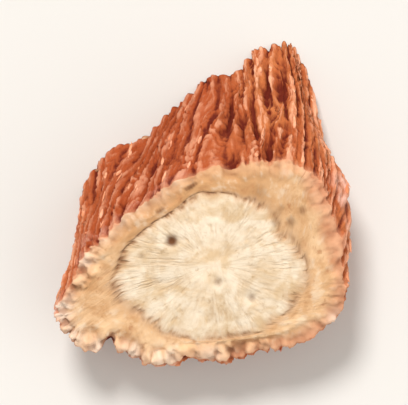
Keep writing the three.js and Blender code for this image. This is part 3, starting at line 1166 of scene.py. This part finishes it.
# Inputs of the fine relief that are sizes
RELIEF_SIZES = (
    "Wrinkle Depth",
    "Wrinkle Scale",
    "Net Depth",
    "Ray Depth",
    "Grain Depth",
    "Lump Height",
    "Ring Depth",
    "Edge Wander",
)


class ROOT_OT_slice(bpy.types.Operator):
    """Build the root slice over its plain solid"""

    bl_idname = "root.slice"
    bl_label = "Root Slice"

    def execute(self, context):
        sizes = context.scene.root_sizes
        colours = context.scene.root_colours
        mottle_group()
        skin = Skin()
        foot, rim = add_bark(skin)
        add_upper_cut(skin, rim)
        add_lower_cut(skin, foot)
        piece = bpy.data.objects.new("ginseng_slice", skin.mesh("ginseng_slice"))
        context.scene.collection.objects.link(piece)
        values = {"Seed": 3.0, "Bark": bark_material(colours), "Cut": cut_material(colours)}
        for name in RELIEF_SIZES:
            values[name] = getattr(sizes, name.lower().replace(" ", "_"))
        apply_tree(piece, fine_relief_tree(), values)
        if len(piece.data.polygons) < AROUND * BARK_ROWS:
            raise RuntimeError("the slice came out of its relief without its faces")
        piece.data.shade_smooth()
        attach(piece, "root")
        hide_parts(NODE)
        return {"FINISHED"}


class ROOT_OT_flakes(bpy.types.Operator):
    """Scatter flakes of dry skin along the crests of the bark"""

    bl_idname = "root.flakes"
    bl_label = "Bark Flakes"

    def execute(self, context):
        sizes = context.scene.root_sizes
        slice_piece = bpy.data.objects.get("ginseng_slice")
        if slice_piece is None:
            self.report({"ERROR"}, "build the root slice first")
            return {"CANCELLED"}
        piece = bpy.data.objects.new("bark_flakes", slice_piece.data.copy())
        context.scene.collection.objects.link(piece)
        values = {
            "Density": sizes.flake_density,
            "Length": sizes.flake_length,
            "Width": sizes.flake_width,
            "Thickness": sizes.flake_thickness,
            "Seed": 4,
            "Material": flake_material(context.scene.root_colours),
        }
        apply_tree(piece, flake_tree(), values)
        if not piece.data.polygons:
            raise RuntimeError("no flakes came out on the bark")
        piece.data.shade_smooth()
        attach(piece, "root")
        return {"FINISHED"}


class ROOT_OT_stage(bpy.types.Operator):
    """Build the floor, the lights and the camera"""

    bl_idname = "root.stage"
    bl_label = "Stage"

    def execute(self, context):
        look = context.scene.root_stage
        scene = context.scene
        mesh = bpy.data.meshes.new("floor")
        far = FLOOR_REACH
        corners = [(-far, -far, 0), (far, -far, 0), (far, far, 0), (-far, far, 0)]
        mesh.from_pydata(corners, [], [(0, 1, 2, 3)])
        floor = bpy.data.objects.new("floor", mesh)
        scene.collection.objects.link(floor)
        material, made, shader = new_material("Plain Floor")
        made.put(shader, {"Base Color": look.floor, "Roughness": 0.9})
        mesh.materials.append(material)

        add_sun("key", look.key_strength, 18, (-36, -14, 0))
        add_sun("fill", look.fill_strength, 60, (20, 48, 0))
        world = bpy.data.worlds.new("Soft Sky")
        world.use_nodes = True
        background = world.node_tree.nodes["Background"]
        background.inputs["Color"].default_value = (1.0, 0.98, 0.95, 1.0)
        background.inputs["Strength"].default_value = look.sky_strength
        scene.world = world

        camera = bpy.data.cameras.new("camera")
        camera.sensor_width = 36.0
        distance = look.camera_height - HIGH.z / 2
        camera.lens = camera.sensor_width * distance / look.view_width
        camera.clip_start = 0.01
        camera.clip_end = 10.0
        lens = bpy.data.objects.new("camera", camera)
        middle = (LOW + HIGH) / 2
        lens.location = (middle.x, middle.y, look.camera_height)
        scene.collection.objects.link(lens)
        scene.camera = lens
        scene.view_settings.view_transform = "Standard"
        return {"FINISHED"}


def add_sun(name, strength, spread, tilt):
    """A soft light from one side: its spread and tilt are in degrees."""
    light = bpy.data.lights.new(name, "SUN")
    light.energy = strength
    light.angle = math.radians(spread)
    lamp = bpy.data.objects.new(name, light)
    lamp.rotation_euler = [math.radians(angle) for angle in tilt]
    bpy.context.scene.collection.objects.link(lamp)


class ROOT_PT_panel(bpy.types.Panel):
    """Buttons and values of the root slice."""

    bl_idname = "ROOT_PT_panel"
    bl_label = "Root Slice"
    bl_space_type = "VIEW_3D"
    bl_region_type = "UI"
    bl_category = "Root Slice"

    def draw(self, context):
        layout = self.layout
        for operator in OPERATORS:
            layout.operator(operator.bl_idname)
        for key in GROUPS:
            box = layout.box()
            group = getattr(context.scene, key)
            for prop in group.bl_rna.properties:
                if prop.identifier not in {"rna_type", "name"}:
                    box.prop(group, prop.identifier)


GROUPS = {"root_sizes": RootSizes, "root_colours": RootColours, "root_stage": StageLook}
OPERATORS = (ROOT_OT_slice, ROOT_OT_flakes, ROOT_OT_stage)
CLASSES = (RootSizes, RootColours, StageLook, *OPERATORS, ROOT_PT_panel)


def register():
    for cls in CLASSES:
        bpy.utils.register_class(cls)
    for key, group in GROUPS.items():
        setattr(bpy.types.Scene, key, bpy.props.PointerProperty(type=group))


def unregister():
    for key in GROUPS:
        delattr(bpy.types.Scene, key)
    for cls in reversed(CLASSES):
        bpy.utils.unregister_class(cls)


def main():
    register()
    bpy.ops.root.slice()
    bpy.ops.root.flakes()
    bpy.ops.root.stage()


if __name__ == "__main__":
    main()
